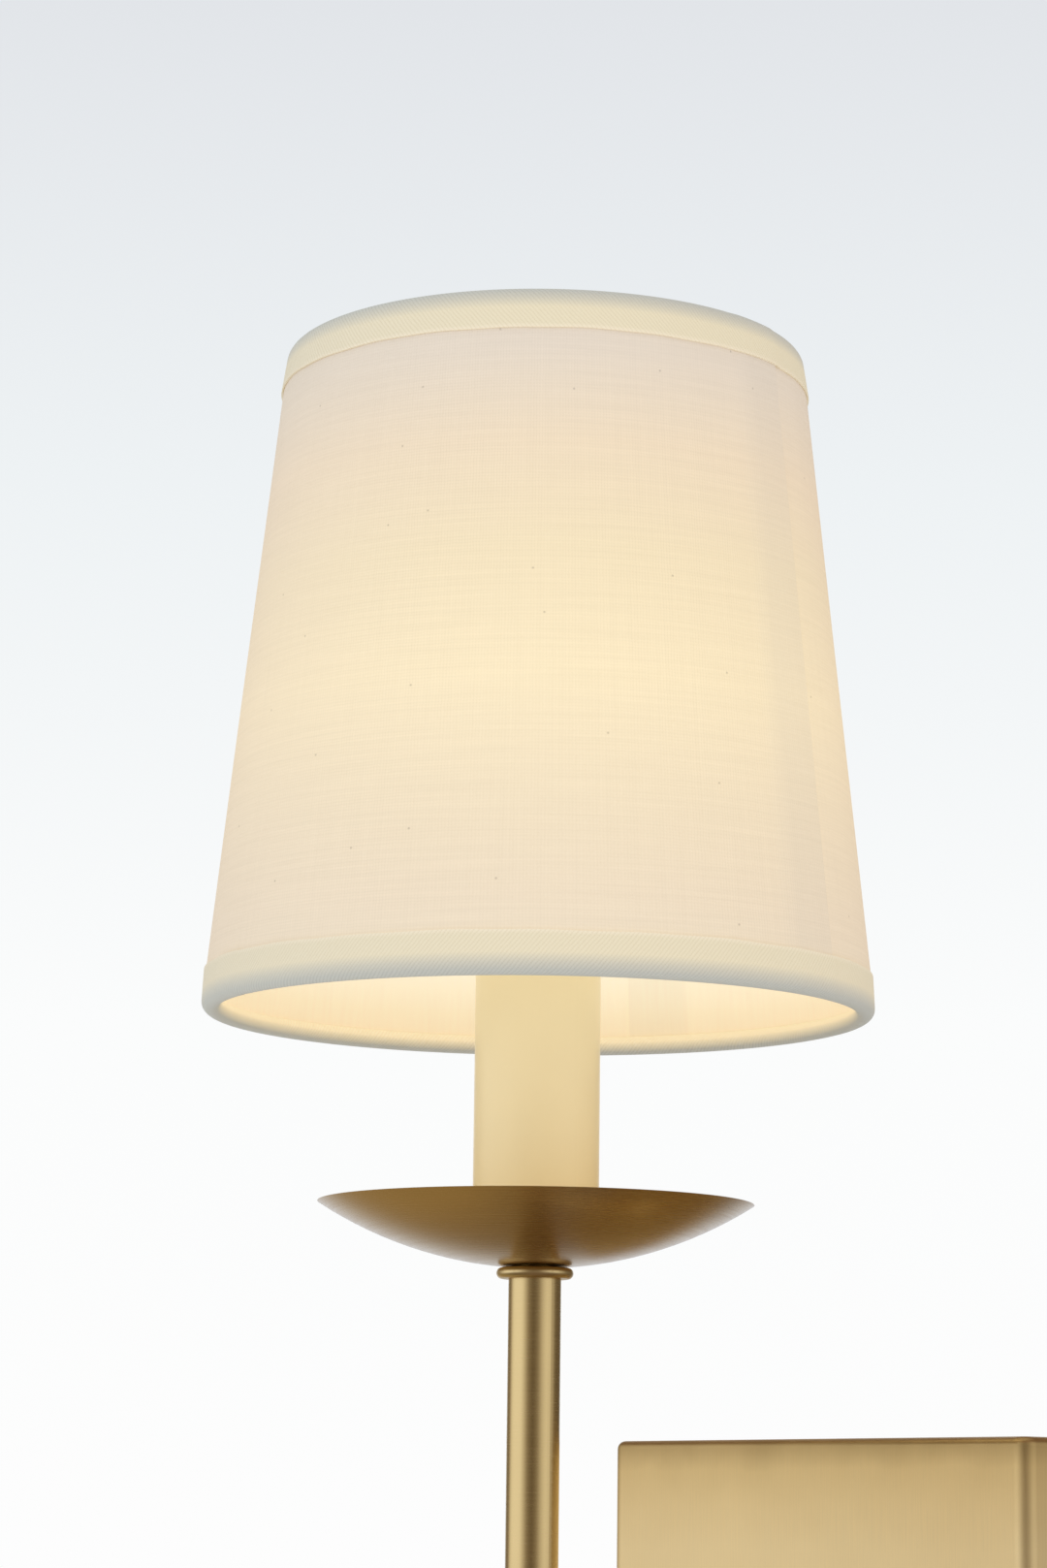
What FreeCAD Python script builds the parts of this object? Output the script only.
import FreeCAD, Part
import math
import os

import Sketcher

# A wall light with one candle arm and a clip-on fabric shade. Millimetres, +Z up. The origin is the middle of
# the wall plate's back, in the plane of the wall, and the light reaches towards -Y.

SIZES = {
    # Wall plate: a folded box of sheet brass, open at the back
    "plate_width": 120,
    "plate_height": 120,
    "plate_depth": 25,
    "plate_sheet": 1.2,
    "plate_corner": 3,
    "plate_edge": 1.7,
    # Bracket behind it, with two slots for the screws of the box in the wall
    "bracket_sheet": 1.6,
    "bracket_height": 26,
    "ear_height": 16,
    "ear_gap": 0.4,
    "ear_reach": 18,
    "slot_spacing": 79.4,
    "slot_length": 14,
    "slot_width": 4.8,
    "knockout_dia": 10.5,
    "ground_x": 20,
    "ground_screw_dia": 4,
    "ground_head_dia": 9,
    "ground_head_flats": 7,
    "ground_head_height": 2.4,
    # Screws that hold the plate to the bracket's ears, one at each side
    "side_screw_dia": 4,
    "side_screw_length": 8,
    "side_head_dia": 8,
    "side_head_top_dia": 4,
    "side_head_edge": 1,
    "side_head_height": 2.6,
    "side_socket_dia": 2.2,
    "side_socket_depth": 1.3,
    "side_screw_y": 13,
    # Arm and stem: one size of tube, joined by short threaded pipes that the leads pass through
    "arm_reach": 70,
    "tube_dia": 10,
    "tube_wall": 1,
    "fit_gap": 0.05,
    "seat_gap": 0.3,
    "pipe_wall": 1.25,
    "pipe_in_tube": 12,
    "nut_wall": 2,
    "nut_height": 3.5,
    "washer_width": 3.5,
    "washer_sheet": 0.8,
    "lug_width": 5,
    "lug_reach": 14,
    "pipe_end": 3.2,
    "rosette_dia": 28,
    "rosette_height": 6,
    "rosette_rim": 1.6,
    "hub_wall": 4,
    "hub_height": 22,
    "hub_round": 1.5,
    "hub_room_play": 1.5,
    "hub_pipe_play": 1,
    "tube_seat": 0.2,
    "finial_dia": 12,
    "finial_collar_dia": 13,
    "finial_collar": 2,
    "finial_neck_dia": 6.4,
    "finial_neck": 1.5,
    "finial_stud_dia": 6,
    "finial_stud": 5,
    # Dish and the ring below it
    "rim_level": 102.5,
    "dish_rim_dia": 83,
    "dish_depth": 12.1,
    "dish_sheet": 0.8,
    "ring_proud": 2.3,
    "ring_height": 2.1,
    # Candle sleeve and the lampholder inside it
    "candle_dia": 24,
    "candle_wall": 1.2,
    "candle_height": 81.5,
    "candle_round": 0.6,
    "holder_play": 1.3,
    "holder_recess": 1,
    "holder_floor_depth": 8,
    "holder_strap_sheet": 1.2,
    "holder_strap_play": 0.2,
    "nut_play": 0.8,
    "shell_sheet": 0.4,
    "contact_dia": 5,
    "contact_top_dia": 2.5,
    "contact_height": 1.2,
    # Bulb: a candle shape on a small screw base
    "base_dia": 11.9,
    "base_length": 21,
    "base_proud": 1,
    "base_sheet": 0.4,
    "thread_gap": 0.1,
    "tip_dia": 3.8,
    "tip_end_dia": 1.9,
    "tip_height": 0.8,
    "insulator_height": 1.8,
    "bulb_dia": 35,
    "bulb_shoulder_dia": 16,
    "shoulder_rise": 5,
    "bulb_low": 28,
    "bulb_high": 38,
    "bulb_tip_dia": 8,
    "bulb_glass": 0.8,
    "neck_in_base": 8,
    "mount_dia": 4.4,
    "mount_flare_dia": 8.6,
    "mount_flare_height": 6,
    "mount_height": 18,
    "support_pitch": 2.2,
    "filament_span": 14,
    "filament_dia": 0.7,
    "support_dia": 0.8,
    # Shade: fabric on a stiff lining, with a taped wire ring at each end
    "shade_lift": 35.4,
    "shade_height": 130,
    "shade_bottom_dia": 128.9,
    "shade_top_dia": 101.1,
    "fabric": 0.3,
    "lining": 0.3,
    "glue": 0.08,
    "tape": 0.32,
    "tape_height": 8,
    "roll_radius": 1.87,
    "ring_wire": 1.8,
    "ring_play": 0.2,
    # Fitter: three spokes from the top ring to a clip that grips the bulb
    "spoke_wire": 2,
    "spoke_drop": 13.5,
    "clip_wire": 1.6,
    "loop_width": 22,
    "loop_reach": 10,
    # Leads and the connectors that join them to the house wires
    "lead_dia": 1.8,
    "lead_pitch": 2.4,
    "lead_leg_gap": 0.9,
    "lead_start": 10,
    "lead_gather": 10,
    "connector_x": 24,
    "connector_y": 11,
    "connector_drop": 30,
    "connector_dia": 11,
    "connector_end_dia": 8,
    "connector_length": 19,
    "connector_skirt": 6.4,
    "connector_play": 0.4,
    "connector_bore_depth": 13,
    "connector_end_room": 2,
}

FORMULAS = {
    "stem_y": "-(plate_depth + arm_reach)",
    "bracket_width": "plate_width - 2 * (plate_sheet + ear_gap)",
    "tube_bore": "tube_dia - 2 * tube_wall",
    "pipe_dia": "tube_bore - 2 * fit_gap",
    "pipe_bore": "pipe_dia - 2 * pipe_wall",
    "inner_corner": "max(plate_corner - plate_sheet; fit_gap)",
    "nut_flats": "tube_bore + 2 * nut_wall",
    "nut_corner": "nut_flats / sqrt(3)",
    "washer_dia": "tube_bore + 2 * washer_width",
    "plate_inside_y": "-(plate_depth - plate_sheet)",
    "stack_y": "plate_inside_y + 2 * washer_sheet + nut_height",
    "hub_dia": "tube_dia + 2 * hub_wall",
    "hub_room_dia": "tube_bore + 2 * hub_room_play",
    "hub_room_height": "tube_bore + 2 * hub_pipe_play",
    "tube_seat_reach": "sqrt(hub_dia^2 - tube_dia^2) / 2 - tube_seat",
    "finial_ball_level": "-(hub_height / 2 + finial_collar + finial_neck"
                         " + sqrt(finial_dia^2 - finial_neck_dia^2) / 2)",
    "dish_sphere": "(dish_rim_dia^2 / 4 + dish_depth^2) / (2 * dish_depth)",
    "dish_inner": "dish_sphere - dish_sheet",
    "dish_centre": "rim_level + dish_sphere - dish_depth",
    "ring_dia": "tube_dia + 2 * ring_proud",
    "ring_top": "rim_level - dish_depth",
    "stem_top": "ring_top - ring_height",
    "dish_nut_level": "dish_centre - sqrt(dish_inner^2 - nut_corner^2) + fit_gap",
    "holder_strap_level": "dish_nut_level + nut_height",
    "strap_nut_level": "holder_strap_level + holder_strap_sheet",
    "candle_bore": "candle_dia - 2 * candle_wall",
    "candle_foot": "dish_centre - sqrt(dish_inner^2 - candle_dia^2 / 4) + fit_gap",
    "candle_top": "candle_foot + candle_height",
    "holder_dia": "candle_bore - 2 * holder_play",
    "holder_leg_span": "nut_flats + 2 * (holder_strap_sheet + nut_play)",
    "holder_strap_width": "sqrt((candle_bore - 2 * holder_strap_play)^2 - holder_leg_span^2)",
    "holder_top": "candle_top - holder_recess",
    "base_top": "holder_top + base_proud",
    "tip_level": "base_top - base_length",
    "holder_floor": "tip_level - contact_height - seat_gap",
    "holder_foot": "holder_floor - holder_floor_depth",
    "shell_inner": "base_dia / 2 + thread_gap",
    "shell_outer": "shell_inner + shell_sheet",
    "insulator_level": "tip_level + tip_height",
    "base_level": "insulator_level + insulator_height",
    "neck_radius": "base_dia / 2 - base_sheet - fit_gap",
    "shoulder_level": "base_top + shoulder_rise",
    "widest_level": "shoulder_level + bulb_low",
    "tip_start": "widest_level + bulb_high",
    "low_drop": "(bulb_dia - bulb_shoulder_dia) / 2",
    "low_radius": "(low_drop^2 + bulb_low^2) / (2 * low_drop)",
    "high_drop": "(bulb_dia - bulb_tip_dia) / 2",
    "high_radius": "(high_drop^2 + bulb_high^2) / (2 * high_drop)",
    "tip_radius": "bulb_tip_dia / 2 * high_radius / (high_radius - high_drop)",
    "bulb_top": "tip_start + tip_radius * (1 - bulb_high / high_radius)",
    "mount_level": "base_top - neck_in_base / 2",
    "mount_top": "mount_level + mount_height",
    "shade_bottom": "rim_level + shade_lift",
    "shade_top": "shade_bottom + shade_height",
    "slope": "(shade_bottom_dia - shade_top_dia) / (2 * shade_height)",
    "wall_cos": "1 / sqrt(1 + slope^2)",
    "wall_sin": "slope * wall_cos",
    "roll_low": "shade_bottom + roll_radius",
    "roll_high": "shade_top - roll_radius",
    "wall_low": "shade_bottom_dia / 2 - slope * roll_radius",
    "wall_high": "shade_top_dia / 2 + slope * roll_radius",
    "roll_inset": "(roll_radius - tape - glue) / wall_cos",
    "wire_inset": "(fabric + glue + lining + ring_play + ring_wire / 2) / wall_cos",
    "top_wire_radius": "wall_high - wire_inset",
    "bottom_wire_radius": "wall_low - wire_inset",
    "clip_radius": "sqrt((bulb_dia / 2 + seat_gap + clip_wire / 2)^2 - loop_width^2 / 4)",
    "clip_level": "roll_high - spoke_drop",
    "loop_top": "clip_level - clip_wire - glue",
    "loop_bottom": "widest_level - loop_reach",
    "lead_spread": "holder_leg_span - 2 * (holder_strap_sheet + lead_leg_gap) - lead_dia",
    "connector_bore": "lead_dia + 2 * connector_play",
}

UP = FreeCAD.Vector(0, 0, 1)
TO_ROOM = FreeCAD.Rotation(FreeCAD.Vector(1, 0, 0), 90)
TO_RIGHT = FreeCAD.Rotation(FreeCAD.Vector(0, 1, 0), 90)
UPSIDE_DOWN = FreeCAD.Rotation(FreeCAD.Vector(1, 0, 0), 180)
ANTICLOCKWISE, CLOCKWISE = 1, -1

doc = FreeCAD.newDocument("FabricShadeWallLight")
size = doc.addObject("Spreadsheet::Sheet", "Size")
trial = doc.addObject("Spreadsheet::Sheet", "Trial")
nodes = []


def fill_sheet():
    """Write every driving size, and every size worked out from them, under its own alias."""
    cells = [(name, str(number)) for name, number in SIZES.items()]
    cells += [(name, "=" + formula) for name, formula in FORMULAS.items()]
    for row, (name, content) in enumerate(cells, 1):
        size.set(f"A{row}", name)
        size.set(f"B{row}", content)
        size.setAlias(f"B{row}", name)
    doc.recompute()


def now(formula):
    """The number that a formula gives with the sizes as they are, used to start a sketch near its place."""
    trial.set("A1", "=" + formula)
    trial.recompute()
    return float(trial.get("A1"))


# Sketching

def bind(sketch, kind, where, formula):
    """A dimension of the sketch that follows a formula."""
    row = sketch.addConstraint(Sketcher.Constraint(kind, *where, now(formula)))
    sketch.setExpression(f"Constraints[{row}]", formula)


def hold(sketch, edge, end, x, y):
    """Place one point of an edge by its two distances from the sketch's origin."""
    for kind, axis, formula in (("DistanceX", -2, x), ("DistanceY", -1, y)):
        if formula == "0":
            sketch.addConstraint(Sketcher.Constraint("PointOnObject", edge, end, axis))
        else:
            bind(sketch, kind, (-1, 1, edge, end), formula)


def arc_between(start, end, radius, turn):
    """The shorter arc from start to end. It is anticlockwise when its centre lies left of the way it runs."""
    chord = end - start
    aside = FreeCAD.Vector(-chord.y, chord.x, 0).normalize() * turn
    depth = math.sqrt(max(radius**2 - (chord.Length / 2) ** 2, 0))
    centre = (start + end) / 2 + aside * depth
    first, last = (start, end) if turn == ANTICLOCKWISE else (end, start)
    angles = [math.atan2(p.y - centre.y, p.x - centre.x) for p in (first, last)]
    return Part.ArcOfCircle(Part.Circle(centre, UP, radius), *angles)


def outline(sketch, points):
    """A closed outline. A point is (x, y), or (x, y, radius, turn) where an arc leaves it for the next."""
    spots = [FreeCAD.Vector(now(point[0]), now(point[1]), 0) for point in points]
    ends = []
    for point, start, end in zip(points, spots, spots[1:] + spots[:1]):
        if len(point) == 2:
            edge = sketch.addGeometry(Part.LineSegment(start, end), False)
            ends.append((edge, 1, 2))
            continue
        radius, turn = point[2:]
        edge = sketch.addGeometry(arc_between(start, end, now(radius), turn), False)
        ends.append((edge, 1, 2) if turn == ANTICLOCKWISE else (edge, 2, 1))
    for (edge, _, end), (after, start, _) in zip(ends, ends[1:] + ends[:1]):
        sketch.addConstraint(Sketcher.Constraint("Coincident", edge, end, after, start))
    for point, (edge, start, _) in zip(points, ends):
        hold(sketch, edge, start, point[0], point[1])
        if len(point) == 4:
            bind(sketch, "Radius", (edge,), point[2])


def circle(sketch, radius, x="0", y="0"):
    """A circle held by its centre and radius."""
    edge = sketch.addGeometry(Part.Circle(FreeCAD.Vector(now(x), now(y), 0), UP, now(radius)), False)
    hold(sketch, edge, 3, x, y)
    bind(sketch, "Radius", (edge,), radius)


def rectangle(sketch, left, low, right, high):
    """A rectangle between two corners."""
    outline(sketch, [(left, low), (right, low), (right, high), (left, high)])


def slot(sketch, x, length, width):
    """A round-ended slot along the sketch's x, centred at x."""
    end, straight, half = f"({length}) / 2", f"({length} - {width}) / 2", f"({width}) / 2"
    outline(sketch, [
        (f"{x} - {straight}", f"-{half}"),
        (f"{x} + {straight}", f"-{half}", half, ANTICLOCKWISE),
        (f"{x} + {end}", "0", half, ANTICLOCKWISE),
        (f"{x} + {straight}", half),
        (f"{x} - {straight}", half, half, ANTICLOCKWISE),
        (f"{x} - {end}", "0", half, ANTICLOCKWISE),
    ])


def hexagon(sketch, corner, first):
    """A regular hexagon about the origin, with its first corner at an angle in degrees."""
    angles = [math.radians(first + 60 * step) for step in range(6)]
    outline(sketch, [(f"{corner} * {math.cos(a):.6f}", f"{corner} * {math.sin(a):.6f}") for a in angles])


# Bodies and their features

def node(piece, label):
    """Name a finished piece and list it among those that are written."""
    piece.Label = label
    nodes.append(piece)
    return piece


def put(piece, x="0", y="0", z="0", turn=None):
    """Turn a piece, then place it by three formulas."""
    if turn:
        piece.Placement = FreeCAD.Placement(FreeCAD.Vector(), turn)
    for axis, formula in zip("xyz", (x, y, z)):
        if formula != "0":
            piece.setExpression(f"Placement.Base.{axis}", formula)
    return piece


def body(name):
    """An empty body."""
    return doc.addObject("PartDesign::Body", name)


def sketch_on(piece, role):
    """A new sketch on one of the body's own origin planes."""
    sketch = piece.newObject("Sketcher::SketchObject", "Sketch")
    plane = [p for p in piece.Origin.OriginFeatures if p.Role == role][0]
    sketch.AttachmentSupport = [(plane, "")]
    sketch.MapMode = "FlatFace"
    return sketch


def pad(piece, sketch, length, both_ways=False, reversed_way=False):
    """Raise the sketch by a length."""
    feature = piece.newObject("PartDesign::Pad", "Pad")
    feature.Profile = sketch
    feature.SideType = "Symmetric" if both_ways else "One side"
    feature.Reversed = reversed_way
    feature.setExpression("Length", length)
    return feature


def cut(piece, sketch, length=None, both_ways=False, reversed_way=False):
    """Cut the sketch out of the body, to a length or right through, and make sure that it cuts."""
    doc.recompute()
    before = piece.Shape.Volume
    feature = piece.newObject("PartDesign::Pocket", "Pocket")
    feature.Profile = sketch
    feature.SideType = "Symmetric" if both_ways else "One side"
    feature.Reversed = reversed_way
    if length is None:
        feature.Type = "ThroughAll"
    else:
        feature.setExpression("Length", length)
    doc.recompute()
    if piece.Shape.Volume > before - 1e-6:
        raise RuntimeError(f"a cut in {piece.Name} removes nothing")
    return feature


def turned(name, points):
    """A body turned about +Z from an outline of (radius, level) points."""
    piece = body(name)
    sketch = sketch_on(piece, "XZ_Plane")
    outline(sketch, points)
    feature = piece.newObject("PartDesign::Revolution", "Turn")
    feature.Profile = sketch
    feature.ReferenceAxis = (sketch, ["V_Axis"])
    feature.Angle = 360
    return piece


def tube(name, outer, bore, length):
    """A plain tube along +Z from the body's origin, given by its two diameters."""
    piece = body(name)
    sketch = sketch_on(piece, "XY_Plane")
    circle(sketch, f"{outer} / 2")
    circle(sketch, f"{bore} / 2")
    pad(piece, sketch, length)
    return piece


def hex_nut(name):
    """A hexagon nut on the threaded pipe, with flats facing +X and -X."""
    piece = body(name)
    sketch = sketch_on(piece, "XY_Plane")
    hexagon(sketch, "Size.nut_corner", 30)
    circle(sketch, "Size.tube_bore / 2")
    pad(piece, sketch, "Size.nut_height")
    return piece


def round_edges(piece, radius, wanted):
    """Round those edges of the body that the test picks."""
    doc.recompute()
    solid = piece.Tip
    names = [f"Edge{i}" for i, edge in enumerate(solid.Shape.Edges, 1) if wanted(edge)]
    feature = piece.newObject("PartDesign::Fillet", "Round")
    feature.Base = (solid, names)
    feature.setExpression("Radius", radius)
    return feature


def compound(name, parts):
    """Separate solids in one piece."""
    group = doc.addObject("Part::Compound", name)
    group.Links = parts
    return group


def mirrored(name, source, normal):
    """A mirror copy of a piece through the origin."""
    copy = doc.addObject("Part::Mirroring", name)
    copy.Source = source
    copy.Normal = normal
    return copy


# Wall plate, bracket and their screws

def front_edge_test(along, aside, distance, depth):
    """Pick the straight edges that run along one axis, at a distance to either side and a depth in front."""
    def wanted(edge):
        middle = edge.CenterOfMass
        straight = abs(abs(edge.tangentAt(edge.FirstParameter).dot(along)) - 1) < 1e-6
        return straight and abs(abs(middle.dot(aside)) - distance) < 1e-6 and abs(middle.y + depth) < 1e-6
    return wanted


def build_backplate():
    """The rounding of the top and bottom edges runs on round the corners and back to the wall."""
    plate = body("Backplate")
    half_width, half_height = now("Size.plate_width / 2"), now("Size.plate_height / 2")
    outside = sketch_on(plate, "XZ_Plane")
    rectangle(outside, "-Size.plate_width / 2", "-Size.plate_height / 2",
              "Size.plate_width / 2", "Size.plate_height / 2")
    pad(plate, outside, "Size.plate_depth")
    depth = now("Size.plate_depth")
    along_z = front_edge_test(UP, FreeCAD.Vector(1, 0, 0), half_width, depth)
    along_x = front_edge_test(FreeCAD.Vector(1, 0, 0), UP, half_height, depth)
    round_edges(plate, "Size.plate_corner", along_z)
    round_edges(plate, "Size.plate_edge", along_x)
    inside = sketch_on(plate, "XZ_Plane")
    inner_x = "(Size.plate_width / 2 - Size.plate_sheet)"
    inner_z = "(Size.plate_height / 2 - Size.plate_sheet)"
    rectangle(inside, f"-{inner_x}", f"-{inner_z}", inner_x, inner_z)
    cut(plate, inside, "Size.plate_depth - Size.plate_sheet", reversed_way=True)
    inner_corner = front_edge_test(UP, FreeCAD.Vector(1, 0, 0), half_width - now("Size.plate_sheet"),
                                   depth - now("Size.plate_sheet"))
    round_edges(plate, "Size.inner_corner", inner_corner)
    entry = sketch_on(plate, "XZ_Plane")
    circle(entry, "Size.tube_bore / 2 + Size.fit_gap")
    cut(plate, entry, reversed_way=True)
    side_holes = sketch_on(plate, "YZ_Plane")
    circle(side_holes, "Size.side_screw_dia / 2 + Size.fit_gap", "-Size.side_screw_y")
    cut(plate, side_holes, both_ways=True)
    node(plate, "backplate")


def build_bracket():
    bracket = body("Bracket")
    strap = sketch_on(bracket, "XZ_Plane")
    rectangle(strap, "-Size.bracket_width / 2", "-Size.bracket_height / 2",
              "Size.bracket_width / 2", "Size.bracket_height / 2")
    pad(bracket, strap, "Size.bracket_sheet")
    for left, right in (("-Size.bracket_width / 2", "-(Size.bracket_width / 2 - Size.bracket_sheet)"),
                        ("Size.bracket_width / 2 - Size.bracket_sheet", "Size.bracket_width / 2")):
        ear = sketch_on(bracket, "XZ_Plane")
        rectangle(ear, left, "-Size.ear_height / 2", right, "Size.ear_height / 2")
        pad(bracket, ear, "Size.ear_reach")
    slots = sketch_on(bracket, "XZ_Plane")
    for side in ("-", ""):
        slot(slots, f"{side}Size.slot_spacing / 2", "Size.slot_length", "Size.slot_width")
    circle(slots, "Size.knockout_dia / 2")
    circle(slots, "Size.ground_screw_dia / 2 + Size.fit_gap", "-Size.ground_x")
    cut(bracket, slots, reversed_way=True)
    tapped = sketch_on(bracket, "YZ_Plane")
    circle(tapped, "Size.side_screw_dia / 2 + Size.fit_gap", "-Size.side_screw_y")
    cut(bracket, tapped, both_ways=True)
    node(bracket, "wall_bracket")


def build_ground_screw():
    """Shank in the bracket, round flange and hexagon head, pointing into the room."""
    screw = body("GroundScrew")
    shank = sketch_on(screw, "XY_Plane")
    circle(shank, "Size.ground_screw_dia / 2")
    pad(screw, shank, "Size.bracket_sheet")
    flange = sketch_on(screw, "XY_Plane")
    flange.setExpression("AttachmentOffset.Base.z", "Size.bracket_sheet")
    circle(flange, "Size.ground_head_dia / 2")
    pad(screw, flange, "Size.ground_head_height / 2")
    head = sketch_on(screw, "XY_Plane")
    head.setExpression("AttachmentOffset.Base.z", "Size.bracket_sheet")
    hexagon(head, "Size.ground_head_flats / sqrt(3)", 0)
    pad(screw, head, "Size.ground_head_height")
    node(put(screw, "-Size.ground_x", turn=TO_ROOM), "ground_screw")


def build_side_screws():
    """Domed screws with a hexagon socket, one through each side of the plate."""
    screw = turned("SideScrew", [
        ("0", "-Size.side_screw_length"),
        ("Size.side_screw_dia / 2", "-Size.side_screw_length"),
        ("Size.side_screw_dia / 2", "0"),
        ("Size.side_head_dia / 2", "0"),
        ("Size.side_head_dia / 2", "Size.side_head_edge", "Size.side_head_dia / 2", ANTICLOCKWISE),
        ("Size.side_head_top_dia / 2", "Size.side_head_height"),
        ("0", "Size.side_head_height"),
    ])
    socket = sketch_on(screw, "XY_Plane")
    socket.setExpression("AttachmentOffset.Base.z", "Size.side_head_height")
    circle(socket, "Size.side_socket_dia / 2")
    cut(screw, socket, "Size.side_socket_depth")
    put(screw, "Size.plate_width / 2", "-Size.side_screw_y", turn=TO_RIGHT)
    other = mirrored("SideScrewLeft", screw, FreeCAD.Vector(1, 0, 0))
    node(compound("SideScrews", [screw, other]), "side_screws")


# Arm, hub, finial and stem

def pipe_piece(name, length):
    """A short threaded pipe, drawn plain."""
    return tube(name, "Size.pipe_dia", "Size.pipe_bore", length)


def build_arm():
    rosette = turned("Rosette", [
        ("Size.tube_dia / 2 + Size.fit_gap", "0"),
        ("Size.rosette_dia / 2", "0"),
        ("Size.rosette_dia / 2", "Size.rosette_rim", "Size.rosette_dia / 2", ANTICLOCKWISE),
        ("Size.tube_dia / 2 + Size.rosette_rim", "Size.rosette_height"),
        ("Size.tube_dia / 2 + Size.fit_gap", "Size.rosette_height"),
    ])
    node(put(rosette, y="-Size.plate_depth", turn=TO_ROOM), "arm_rosette")
    arm = tube("Arm", "Size.tube_dia", "Size.tube_bore", "Size.arm_reach - Size.tube_seat_reach - Size.fit_gap")
    node(put(arm, y="-Size.plate_depth", turn=TO_ROOM), "arm_tube")
    pipe = pipe_piece("ArmPipe", "Size.plate_depth + Size.pipe_in_tube + Size.stack_y + Size.pipe_end")
    put(pipe, y="Size.stack_y + Size.pipe_end", turn=TO_ROOM)
    node(pipe, "arm_pipe")


def build_plate_fixings():
    """What clamps the arm inside the plate, from the plate inwards: lock washer, earth lug, nut."""
    washer = tube("LockWasher", "Size.washer_dia", "Size.tube_bore", "Size.washer_sheet")
    node(put(washer, y="Size.plate_inside_y + Size.washer_sheet", turn=TO_ROOM), "lock_washer")
    lug = body("GroundLug")
    eye = sketch_on(lug, "XY_Plane")
    circle(eye, "Size.washer_dia / 2")
    pad(lug, eye, "Size.washer_sheet")
    tongue = sketch_on(lug, "XY_Plane")
    rectangle(tongue, "-Size.lug_width / 2", "-Size.lug_reach", "Size.lug_width / 2", "0")
    pad(lug, tongue, "Size.washer_sheet")
    hole = sketch_on(lug, "XY_Plane")
    circle(hole, "Size.tube_bore / 2")
    cut(lug, hole, both_ways=True)
    node(put(lug, y="Size.plate_inside_y + 2 * Size.washer_sheet", turn=TO_ROOM), "ground_lug")
    node(put(hex_nut("PlateNut"), y="Size.stack_y", turn=TO_ROOM), "plate_nut")


def build_hub():
    """The turned block where arm and stem meet, hollow so that the leads can turn the corner."""
    half, room = "Size.hub_height / 2", "Size.hub_room_height / 2"
    hub = turned("Hub", [
        ("Size.finial_stud_dia / 2 + Size.fit_gap", f"-{half}"),
        ("Size.hub_dia / 2 - Size.hub_round", f"-{half}", "Size.hub_round", ANTICLOCKWISE),
        ("Size.hub_dia / 2", f"-({half} - Size.hub_round)"),
        ("Size.hub_dia / 2", f"{half} - Size.hub_round", "Size.hub_round", ANTICLOCKWISE),
        ("Size.hub_dia / 2 - Size.hub_round", half),
        ("Size.tube_bore / 2", half),
        ("Size.tube_bore / 2", room),
        ("Size.hub_room_dia / 2", room),
        ("Size.hub_room_dia / 2", f"-{room}"),
        ("Size.finial_stud_dia / 2 + Size.fit_gap", f"-{room}"),
    ])
    mouth = sketch_on(hub, "XZ_Plane")
    circle(mouth, "Size.tube_bore / 2")
    cut(hub, mouth, "Size.hub_dia")
    seat = sketch_on(hub, "XZ_Plane")
    seat.setExpression("AttachmentOffset.Base.z", "-Size.tube_seat_reach")
    circle(seat, "Size.tube_dia / 2 + Size.fit_gap")
    cut(hub, seat, "Size.hub_dia")
    node(put(hub, y="Size.stem_y"), "hub")
    start = "Size.hub_room_height / 2 + Size.fit_gap"
    length = f"Size.hub_height / 2 + Size.pipe_in_tube - ({start})"
    upright = put(pipe_piece("StemFootPipe", length), y="Size.stem_y", z=start)
    level = put(pipe_piece("ArmEndPipe", length), y=f"Size.stem_y + {start} + {length}", turn=TO_ROOM)
    node(compound("HubPipes", [upright, level]), "hub_pipes")


def build_finial():
    """Turned end piece under the hub: stud, collar, neck and ball."""
    top = "-Size.hub_height / 2"
    neck = f"{top} - Size.finial_collar"
    finial = turned("Finial", [
        ("0", f"{top} + Size.finial_stud"),
        ("0", "Size.finial_ball_level - Size.finial_dia / 2", "Size.finial_dia / 2", ANTICLOCKWISE),
        ("Size.finial_dia / 2", "Size.finial_ball_level", "Size.finial_dia / 2", ANTICLOCKWISE),
        ("Size.finial_neck_dia / 2", f"{neck} - Size.finial_neck"),
        ("Size.finial_neck_dia / 2", neck),
        ("Size.finial_collar_dia / 2 - Size.finial_collar / 2", neck, "Size.finial_collar / 2", ANTICLOCKWISE),
        ("Size.finial_collar_dia / 2", f"{top} - Size.finial_collar / 2", "Size.finial_collar / 2",
         ANTICLOCKWISE),
        ("Size.finial_collar_dia / 2 - Size.finial_collar / 2", top),
        ("Size.finial_stud_dia / 2", top),
        ("Size.finial_stud_dia / 2", f"{top} + Size.finial_stud"),
    ])
    node(put(finial, y="Size.stem_y"), "finial")


def build_stem():
    stem = tube("Stem", "Size.tube_dia", "Size.tube_bore", "Size.stem_top - Size.hub_height / 2")
    node(put(stem, y="Size.stem_y", z="Size.hub_height / 2"), "stem_tube")
    thread_top = "Size.strap_nut_level + Size.nut_height"
    pipe = pipe_piece("CandlePipe", f"{thread_top} - Size.stem_top + Size.pipe_in_tube")
    node(put(pipe, y="Size.stem_y", z="Size.stem_top - Size.pipe_in_tube"), "candle_pipe")


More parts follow.
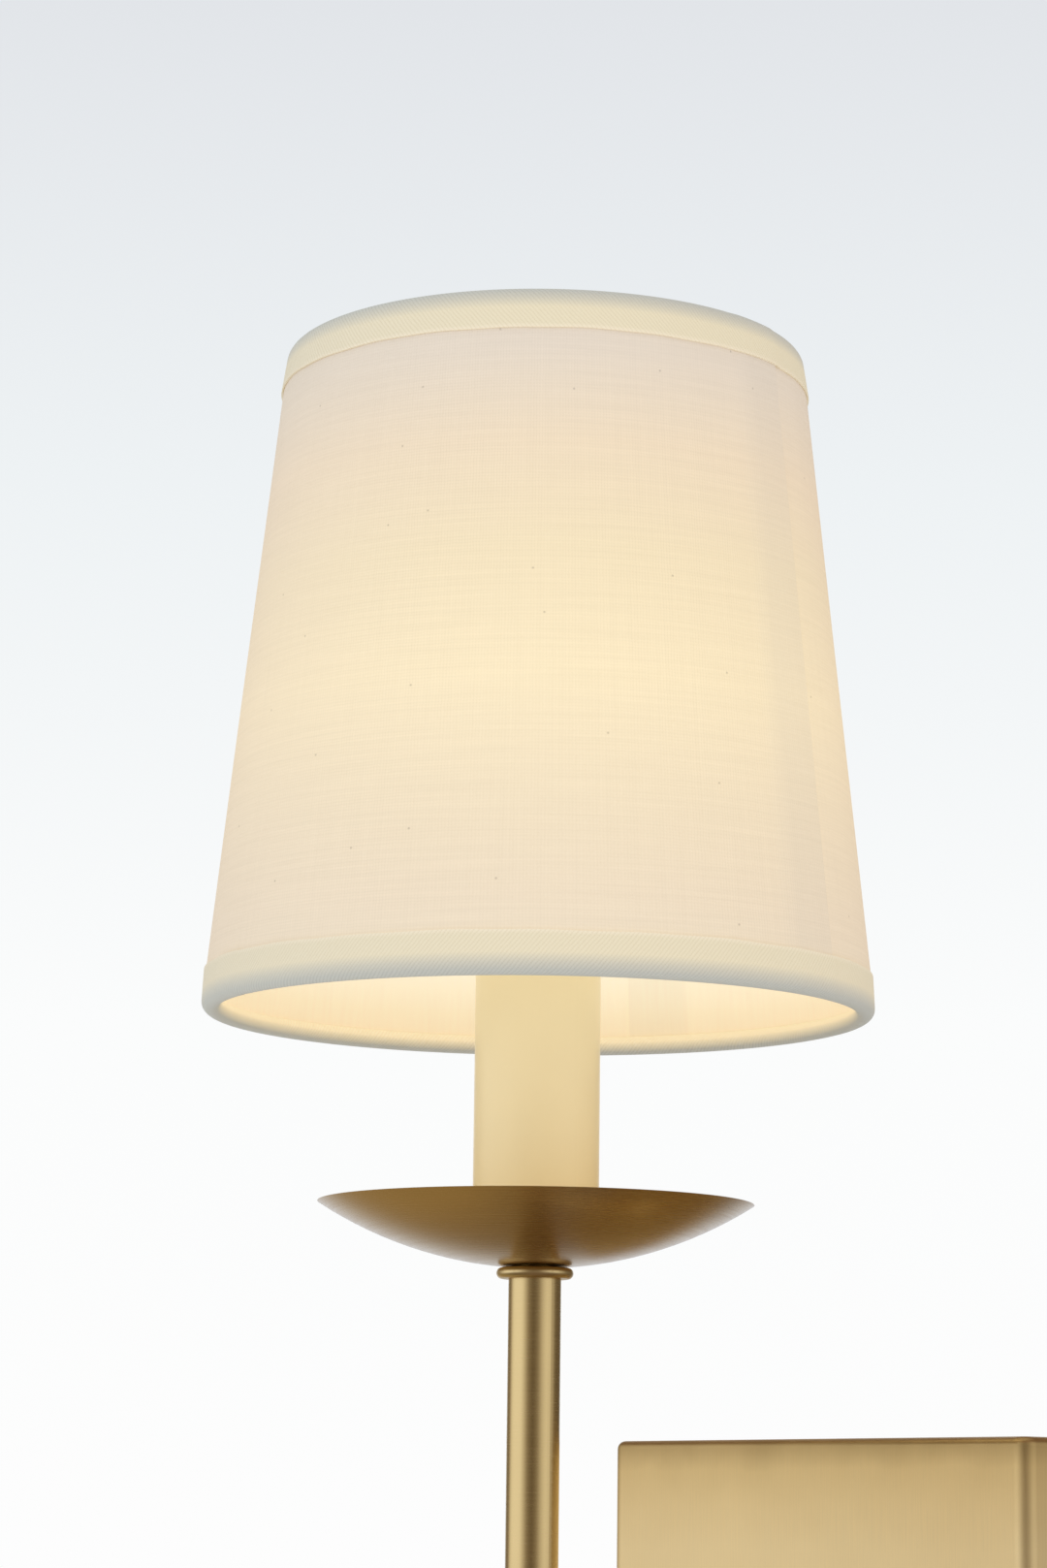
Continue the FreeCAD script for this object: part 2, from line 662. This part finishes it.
def build_dish():
    """The ring on the stem, the spun dish, which is a cap of a sphere with a hole for the pipe, and its nut."""
    middle, side = "(Size.ring_top + Size.stem_top) / 2", "Size.ring_dia / 2 - Size.ring_height / 2"
    ring = turned("CollarRing", [
        ("Size.tube_bore / 2", "Size.stem_top"),
        (side, "Size.stem_top", "Size.ring_height / 2", ANTICLOCKWISE),
        ("Size.ring_dia / 2", middle, "Size.ring_height / 2", ANTICLOCKWISE),
        (side, "Size.ring_top"),
        ("Size.tube_bore / 2", "Size.ring_top"),
    ])
    node(put(ring, y="Size.stem_y"), "collar_ring")
    hole = "Size.tube_bore / 2"
    under = f"Size.dish_centre - sqrt(Size.dish_sphere^2 - ({hole})^2)"
    over = f"Size.dish_centre - sqrt(Size.dish_inner^2 - ({hole})^2)"
    inner_rim = "sqrt(Size.dish_inner^2 - (Size.dish_centre - Size.rim_level)^2)"
    dish = turned("Dish", [
        (hole, under, "Size.dish_sphere", ANTICLOCKWISE),
        ("Size.dish_rim_dia / 2", "Size.rim_level"),
        (inner_rim, "Size.rim_level", "Size.dish_inner", CLOCKWISE),
        (hole, over),
    ])
    node(put(dish, y="Size.stem_y"), "dish")
    node(put(hex_nut("DishNut"), y="Size.stem_y", z="Size.dish_nut_level"), "dish_nut")


# Candle sleeve and lampholder

def build_candle():
    inner = "Size.candle_bore / 2"
    sleeve = turned("CandleSleeve", [
        (inner, "Size.candle_foot"),
        ("Size.candle_dia / 2", "Size.candle_foot"),
        ("Size.candle_dia / 2", "Size.candle_top - Size.candle_round", "Size.candle_round", ANTICLOCKWISE),
        ("Size.candle_dia / 2 - Size.candle_round", "Size.candle_top"),
        (inner, "Size.candle_top"),
    ])
    node(put(sleeve, y="Size.stem_y"), "candle_sleeve")


def build_holder_strap():
    """The folded strap that stands on the dish's nut and carries the lampholder."""
    strap = body("HolderStrap")
    fold = sketch_on(strap, "XZ_Plane")
    out, leg = "Size.holder_leg_span / 2", "(Size.holder_leg_span / 2 - Size.holder_strap_sheet)"
    low, high = "Size.holder_strap_level", "Size.holder_foot"
    outline(fold, [
        (f"-{out}", low), (out, low), (out, high), (leg, high), (leg, "Size.strap_nut_level"),
        (f"-{leg}", "Size.strap_nut_level"), (f"-{leg}", high), (f"-{out}", high),
    ])
    pad(strap, fold, "Size.holder_strap_width", both_ways=True)
    hole = sketch_on(strap, "XY_Plane")
    circle(hole, "Size.tube_bore / 2")
    cut(strap, hole, both_ways=True)
    node(put(strap, y="Size.stem_y"), "holder_strap")
    node(put(hex_nut("StrapNut"), y="Size.stem_y", z="Size.strap_nut_level"), "strap_nut")


def build_lampholder():
    """Moulded body, brass screw shell and the contact on its floor."""
    holder = turned("Lampholder", [
        ("0", "Size.holder_foot"),
        ("Size.holder_dia / 2", "Size.holder_foot"),
        ("Size.holder_dia / 2", "Size.holder_top"),
        ("Size.shell_outer + Size.fit_gap", "Size.holder_top"),
        ("Size.shell_outer + Size.fit_gap", "Size.holder_floor"),
        ("0", "Size.holder_floor"),
    ])
    node(put(holder, y="Size.stem_y"), "lampholder")
    shell = tube("ScrewShell", "2 * Size.shell_outer", "2 * Size.shell_inner",
                 "Size.holder_top - Size.holder_floor - 2 * Size.fit_gap")
    node(put(shell, y="Size.stem_y", z="Size.holder_floor + Size.fit_gap"), "screw_shell")
    contact = doc.addObject("Part::Cone", "CentreContact")
    contact.setExpression("Radius1", "Size.contact_dia / 2")
    contact.setExpression("Radius2", "Size.contact_top_dia / 2")
    contact.setExpression("Height", "Size.contact_height")
    node(put(contact, y="Size.stem_y", z="Size.holder_floor"), "centre_contact")


# Bulb

def build_bulb_base():
    tip = turned("BulbTip", [
        ("0", "Size.tip_level"),
        ("Size.tip_end_dia / 2", "Size.tip_level"),
        ("Size.tip_dia / 2", "Size.insulator_level"),
        ("0", "Size.insulator_level"),
    ])
    node(put(tip, y="Size.stem_y"), "bulb_tip")
    insulator = doc.addObject("Part::Cone", "BulbInsulator")
    insulator.setExpression("Radius1", "Size.tip_dia / 2")
    insulator.setExpression("Radius2", "Size.base_dia / 2 - 2 * Size.base_sheet")
    insulator.setExpression("Height", "Size.insulator_height")
    node(put(insulator, y="Size.stem_y", z="Size.insulator_level"), "bulb_insulator")
    base = turned("BulbBase", [
        ("0", "Size.base_level"),
        ("Size.base_dia / 2", "Size.base_level"),
        ("Size.base_dia / 2", "Size.base_top"),
        ("Size.base_dia / 2 - Size.base_sheet", "Size.base_top"),
        ("Size.base_dia / 2 - Size.base_sheet", "Size.base_level + Size.base_sheet"),
        ("0", "Size.base_level + Size.base_sheet"),
    ])
    node(put(base, y="Size.stem_y"), "bulb_base")


def build_bulb_glass():
    """A hollow candle-shaped glass: straight neck, shoulder, two long arcs and a rounded tip."""
    glass = "Size.bulb_glass"
    foot = "Size.base_top - Size.neck_in_base"
    low_x = f"Size.bulb_shoulder_dia / 2 - {glass} * (Size.low_radius - Size.low_drop) / Size.low_radius"
    low_z = f"Size.shoulder_level + {glass} * Size.bulb_low / Size.low_radius"
    high_x = f"Size.bulb_tip_dia / 2 - {glass} * (Size.high_radius - Size.high_drop) / Size.high_radius"
    high_z = f"Size.tip_start - {glass} * Size.bulb_high / Size.high_radius"
    globe = turned("BulbGlass", [
        ("Size.neck_radius", foot),
        ("Size.neck_radius", "Size.base_top + Size.fit_gap"),
        ("Size.bulb_shoulder_dia / 2", "Size.shoulder_level", "Size.low_radius", ANTICLOCKWISE),
        ("Size.bulb_dia / 2", "Size.widest_level", "Size.high_radius", ANTICLOCKWISE),
        ("Size.bulb_tip_dia / 2", "Size.tip_start", "Size.tip_radius", ANTICLOCKWISE),
        ("0", "Size.bulb_top"),
        ("0", f"Size.bulb_top - {glass}", f"Size.tip_radius - {glass}", CLOCKWISE),
        (high_x, high_z, f"Size.high_radius - {glass}", CLOCKWISE),
        (f"Size.bulb_dia / 2 - {glass}", "Size.widest_level", f"Size.low_radius - {glass}", CLOCKWISE),
        (low_x, low_z),
        (f"Size.neck_radius - {glass}", f"Size.base_top + Size.fit_gap + {glass}"),
        (f"Size.neck_radius - {glass}", foot),
    ])
    node(put(globe, y="Size.stem_y"), "bulb_glass")


def rod(name, dia, near, far, azimuth):
    """A straight wire between two (radius, level) points in the upright plane at an azimuth from the stem."""
    (near_r, near_z), (far_r, far_z) = near, far
    wire = doc.addObject("Part::Cylinder", name)
    run, rise = f"({far_r} - ({near_r}))", f"({far_z} - ({near_z}))"
    across, back = math.cos(math.radians(azimuth)), math.sin(math.radians(azimuth))
    wire.setExpression("Radius", f"({dia}) / 2")
    wire.setExpression("Height", f"sqrt({run}^2 + {rise}^2)")
    wire.setExpression("Placement", f"placement(vector(({near_r}) * {across:.6f}; "
                                    f"Size.stem_y + ({near_r}) * {back:.6f}; {near_z}); "
                                    f"rotation({azimuth}; atan2({run}; {rise}); 0))")
    return wire


def build_filament():
    """What the glass holds: a flared glass mount, two support wires and the filament arch between them."""
    mount = turned("BulbMount", [
        ("0", "Size.mount_level"),
        ("Size.mount_flare_dia / 2", "Size.mount_level"),
        ("Size.mount_dia / 2", "Size.mount_level + Size.mount_flare_height"),
        ("Size.mount_dia / 2", "Size.mount_top"),
        ("0", "Size.mount_top"),
    ])
    node(put(mount, y="Size.stem_y"), "bulb_mount")
    near = ("Size.support_pitch / 2", "Size.mount_top + Size.fit_gap")
    far = ("Size.filament_span / 2", "Size.widest_level")
    supports = [rod(f"Support{azimuth}", "Size.support_dia", near, far, azimuth) for azimuth in (0, 180)]
    node(compound("SupportWires", supports), "support_wires")
    arch = doc.addObject("Part::Torus", "Filament")
    arch.setExpression("Radius1", "Size.filament_span / 2")
    arch.setExpression("Radius2", "Size.filament_dia / 2")
    arch.Angle3 = 180
    node(put(arch, y="Size.stem_y", z="Size.widest_level + Size.support_dia", turn=TO_ROOM), "filament")


# Shade

def wall_radius(level, from_top, inset):
    """Radius of the shade's cone at a height above its bottom or below its top, less an inset square to it."""
    edge = f"Size.shade_top_dia / 2 + Size.slope * ({level})" if from_top else (
        f"Size.shade_bottom_dia / 2 - Size.slope * ({level})")
    return f"{edge} - ({inset}) / Size.wall_cos"


def build_wall(name, label, inset, thickness):
    """One layer of the shade's wall, between the middles of the two rolled edges."""
    end, inner = "Size.roll_radius", f"{inset} + {thickness}"
    layer = turned(name, [
        (wall_radius(end, False, inner), "Size.roll_low"),
        (wall_radius(end, False, inset), "Size.roll_low"),
        (wall_radius(end, True, inset), "Size.roll_high"),
        (wall_radius(end, True, inner), "Size.roll_high"),
    ])
    node(put(layer, y="Size.stem_y"), label)


# Angles round a roll at which the outline of the tape has its points
WRAP = (0, 90, 180, 290)


def roll_point(radius, level, distance, angle, up):
    """A point at a distance and angle from a roll's centre. Angle 0 faces out, square to the wall."""
    across = math.cos(math.radians(angle))
    along = math.sin(math.radians(angle)) * up
    return (f"{radius} + ({distance}) * ({across:.6f} * Size.wall_cos - ({along:.6f}) * Size.wall_sin)",
            f"{level} + ({distance}) * ({across:.6f} * Size.wall_sin + ({along:.6f}) * Size.wall_cos)")


def tape_body(name, up):
    """A tape glued to the fabric, rolled over the ring wire and tucked in behind it. up is 1 at the top."""
    top = up == 1
    radius = f"{'Size.wall_high' if top else 'Size.wall_low'} - Size.roll_inset"
    level = "Size.roll_high" if top else "Size.roll_low"
    hem = "Size.shade_top - Size.tape_height" if top else "Size.shade_bottom + Size.tape_height"
    outward, back = (ANTICLOCKWISE, CLOCKWISE) if top else (CLOCKWISE, ANTICLOCKWISE)
    outer = [roll_point(radius, level, "Size.roll_radius", angle, up) for angle in WRAP]
    inner = [roll_point(radius, level, "Size.roll_radius - Size.tape", angle, up) for angle in reversed(WRAP)]
    points = [(wall_radius("Size.tape_height", top, "-(Size.glue + Size.tape)"), hem)]
    points += [(*point, "Size.roll_radius", outward) for point in outer[:-1]] + [outer[-1]]
    points += [(*point, "Size.roll_radius - Size.tape", back) for point in inner[:-1]] + [inner[-1]]
    points += [(wall_radius("Size.tape_height", top, "-Size.glue"), hem)]
    return put(turned(name, points), y="Size.stem_y")


def ring_wire(name, radius, wire, level):
    """A closed ring of round wire about the stem."""
    ring = doc.addObject("Part::Torus", name)
    ring.setExpression("Radius1", radius)
    ring.setExpression("Radius2", f"{wire} / 2")
    return put(ring, y="Size.stem_y", z=level)


# Azimuths of the spokes about the stem
SPOKE_AZIMUTHS = (90, 210, 330)


def build_shade():
    build_wall("ShadeFabric", "shade_fabric", "0", "Size.fabric")
    build_wall("ShadeLining", "shade_lining", "Size.fabric + Size.glue", "Size.lining")
    node(ring_wire("TopRing", "Size.top_wire_radius", "Size.ring_wire", "Size.roll_high"), "top_ring")
    node(ring_wire("BottomRing", "Size.bottom_wire_radius", "Size.ring_wire", "Size.roll_low"), "bottom_ring")
    node(tape_body("BottomTrim", -1), "bottom_trim")
    clip_end = ("Size.clip_radius + Size.clip_wire / 2 + Size.seat_gap", "Size.clip_level")
    ring_end = ("Size.top_wire_radius - Size.ring_wire / 2 - Size.seat_gap", "Size.roll_high")
    notch = "Size.spoke_wire + 4 * Size.glue"
    notches = [rod(f"Notch{a}", notch, clip_end, ring_end, a) for a in SPOKE_AZIMUTHS]
    trim = doc.addObject("Part::Cut", "TopTrim")
    trim.Base = tape_body("TopTape", 1)
    trim.Tool = compound("Notches", notches)
    node(trim, "top_trim")
    spokes = [rod(f"Spoke{a}", "Size.spoke_wire", clip_end, ring_end, a) for a in SPOKE_AZIMUTHS]
    node(compound("Spokes", spokes), "shade_spokes")


def build_clip():
    """The ring over the bulb, and two wire hairpins whose legs stand against the widest part of the glass."""
    node(ring_wire("ClipRing", "Size.clip_radius", "Size.clip_wire", "Size.clip_level"), "clip_ring")
    bend, half_wire = "Size.loop_width / 2", "Size.clip_wire / 2"
    arch = doc.addObject("Part::Torus", "ClipArch")
    arch.setExpression("Radius1", bend)
    arch.setExpression("Radius2", half_wire)
    arch.Angle3 = 180
    arch.setExpression("Placement", f"placement(vector(Size.clip_radius; Size.stem_y; Size.loop_top - {bend}); "
                                    "rotation(90; 0; 90))")
    pieces = [arch]
    for name, side in (("Near", "-"), ("Far", "+")):
        place = ("Size.clip_radius", f"Size.stem_y {side} {bend}", "Size.loop_bottom")
        leg = doc.addObject("Part::Cylinder", f"ClipLeg{name}")
        leg.setExpression("Radius", half_wire)
        leg.setExpression("Height", f"Size.loop_top - {bend} - Size.loop_bottom")
        foot = doc.addObject("Part::Sphere", f"ClipFoot{name}")
        foot.setExpression("Radius", half_wire)
        pieces += [put(leg, *place), put(foot, *place)]
    hairpin = doc.addObject("Part::MultiFuse", "Hairpin")
    hairpin.Shapes = pieces
    hairpin.Refine = True
    other = mirrored("HairpinLeft", hairpin, FreeCAD.Vector(1, 0, 0))
    node(compound("ClipHairpins", [hairpin, other]), "clip_hairpins")


# Leads

def lead(label, points, bends):
    """An insulated lead along straight runs joined by tangent arcs, one bend radius for each inner point."""
    edges, start = [], points[0]
    for before, corner, after, radius in zip(points, points[1:], points[2:], bends):
        back, ahead = (before - corner).normalize(), (after - corner).normalize()
        half = back.getAngle(ahead) / 2
        away = radius / math.tan(half)
        middle = (back + ahead).normalize() * (radius / math.sin(half) - radius)
        first, last = corner + back * away, corner + ahead * away
        edges += [Part.LineSegment(start, first).toShape(), Part.Arc(first, corner + middle, last).toShape()]
        start = last
    edges.append(Part.LineSegment(start, points[-1]).toShape())
    path = Part.Wire(edges)
    profile = Part.Wire([Part.Circle(points[0], points[1] - points[0], now("Size.lead_dia / 2")).toShape()])
    piece = doc.addObject("Part::Feature", label)
    piece.Shape = path.makePipeShell([profile], True, True)
    expected = math.pi * now("Size.lead_dia / 2") ** 2 * path.Length
    filled = piece.Shape.Volume / expected
    print(label, "length", round(path.Length, 1), "bend radii", bends, "volume share", round(filled, 4))
    node(piece, label)


# Bend radii of a lead through the stem, from the lampholder on, and of the ground lead, from its lug on
LEAD_BENDS = (20, 20, 4.5, 4, 8)
GROUND_BENDS = (5, 8, 6)


def build_leads():
    """Live and neutral run from the lampholder through stem, hub and arm. The ground lead stays in the plate."""
    stem_y, foot = now("Size.stem_y"), now("Size.holder_foot")
    gathered = now("Size.strap_nut_level + Size.nut_height + Size.lead_gather")
    turn_y, drop = -now("Size.connector_y"), now("Size.connector_drop")
    end = now("Size.connector_drop + Size.connector_bore_depth - Size.connector_end_room")
    for label, side in (("live_lead", 1), ("neutral_lead", -1)):
        apart, together = side * now("Size.lead_spread / 2"), side * now("Size.lead_pitch / 2")
        aside = side * now("Size.connector_x")
        lead(label, [
            FreeCAD.Vector(apart, stem_y, foot - now("Size.seat_gap")),
            FreeCAD.Vector(apart, stem_y, foot - now("Size.lead_start")),
            FreeCAD.Vector(together, stem_y, gathered),
            FreeCAD.Vector(together, stem_y, 0),
            FreeCAD.Vector(together, turn_y, 0),
            FreeCAD.Vector(aside, turn_y, -drop / 2),
            FreeCAD.Vector(aside, turn_y, -end),
        ], LEAD_BENDS)
    lug_y, lug_end = now("Size.plate_inside_y + 2 * Size.washer_sheet"), now("Size.lug_reach + Size.glue")
    ground_x, touch = -now("Size.ground_x"), now("Size.bracket_sheet + Size.lead_dia / 2 + Size.glue")
    head = now("Size.ground_head_dia / 2 + Size.glue")
    lead("ground_lead", [
        FreeCAD.Vector(0, lug_y, -lug_end),
        FreeCAD.Vector(0, lug_y, -lug_end - 9),
        FreeCAD.Vector(ground_x / 2, (lug_y - touch) / 2, -lug_end - 13),
        FreeCAD.Vector(ground_x, -touch, -lug_end - 6),
        FreeCAD.Vector(ground_x, -touch, -head),
    ], GROUND_BENDS)


def build_connectors():
    """Twist-on connectors over the ends of the live and neutral leads, mouths up."""
    connector = turned("Connector", [
        ("Size.connector_bore / 2", "0"),
        ("Size.connector_dia / 2", "0"),
        ("Size.connector_dia / 2", "Size.connector_skirt"),
        ("Size.connector_end_dia / 2", "Size.connector_length"),
        ("0", "Size.connector_length"),
        ("0", "Size.connector_bore_depth"),
        ("Size.connector_bore / 2", "Size.connector_bore_depth"),
    ])
    put(connector, "Size.connector_x", "-Size.connector_y", "-Size.connector_drop", turn=UPSIDE_DOWN)
    other = mirrored("ConnectorLeft", connector, FreeCAD.Vector(1, 0, 0))
    node(compound("Connectors", [connector, other]), "wire_connectors")


def write_nodes():
    """Check every object and every piece, then write one file for each piece."""
    doc.recompute()
    failed = [obj.Name for obj in doc.Objects if {"Invalid", "Error"} & set(obj.State)]
    failed += [piece.Label for piece in nodes if piece.Shape.isNull() or not piece.Shape.isValid()]
    if failed:
        raise RuntimeError(f"failed: {failed}")
    os.makedirs("parts", exist_ok=True)
    for piece in nodes:
        piece.Shape.exportStep(f"parts/{piece.Label}.step")
        box = piece.Shape.BoundBox
        print(f"{piece.Label:16} solids {len(piece.Shape.Solids)}  volume {piece.Shape.Volume:9.1f}  "
              f"x {box.XMin:7.2f} {box.XMax:7.2f}  y {box.YMin:8.2f} {box.YMax:7.2f}  "
              f"z {box.ZMin:7.2f} {box.ZMax:7.2f}")


fill_sheet()
build_backplate()
build_bracket()
build_ground_screw()
build_side_screws()
build_arm()
build_plate_fixings()
build_hub()
build_finial()
build_stem()
build_dish()
build_candle()
build_holder_strap()
build_lampholder()
build_bulb_base()
build_bulb_glass()
build_filament()
build_shade()
build_clip()
build_leads()
build_connectors()
doc.removeObject(trial.Name)
write_nodes()
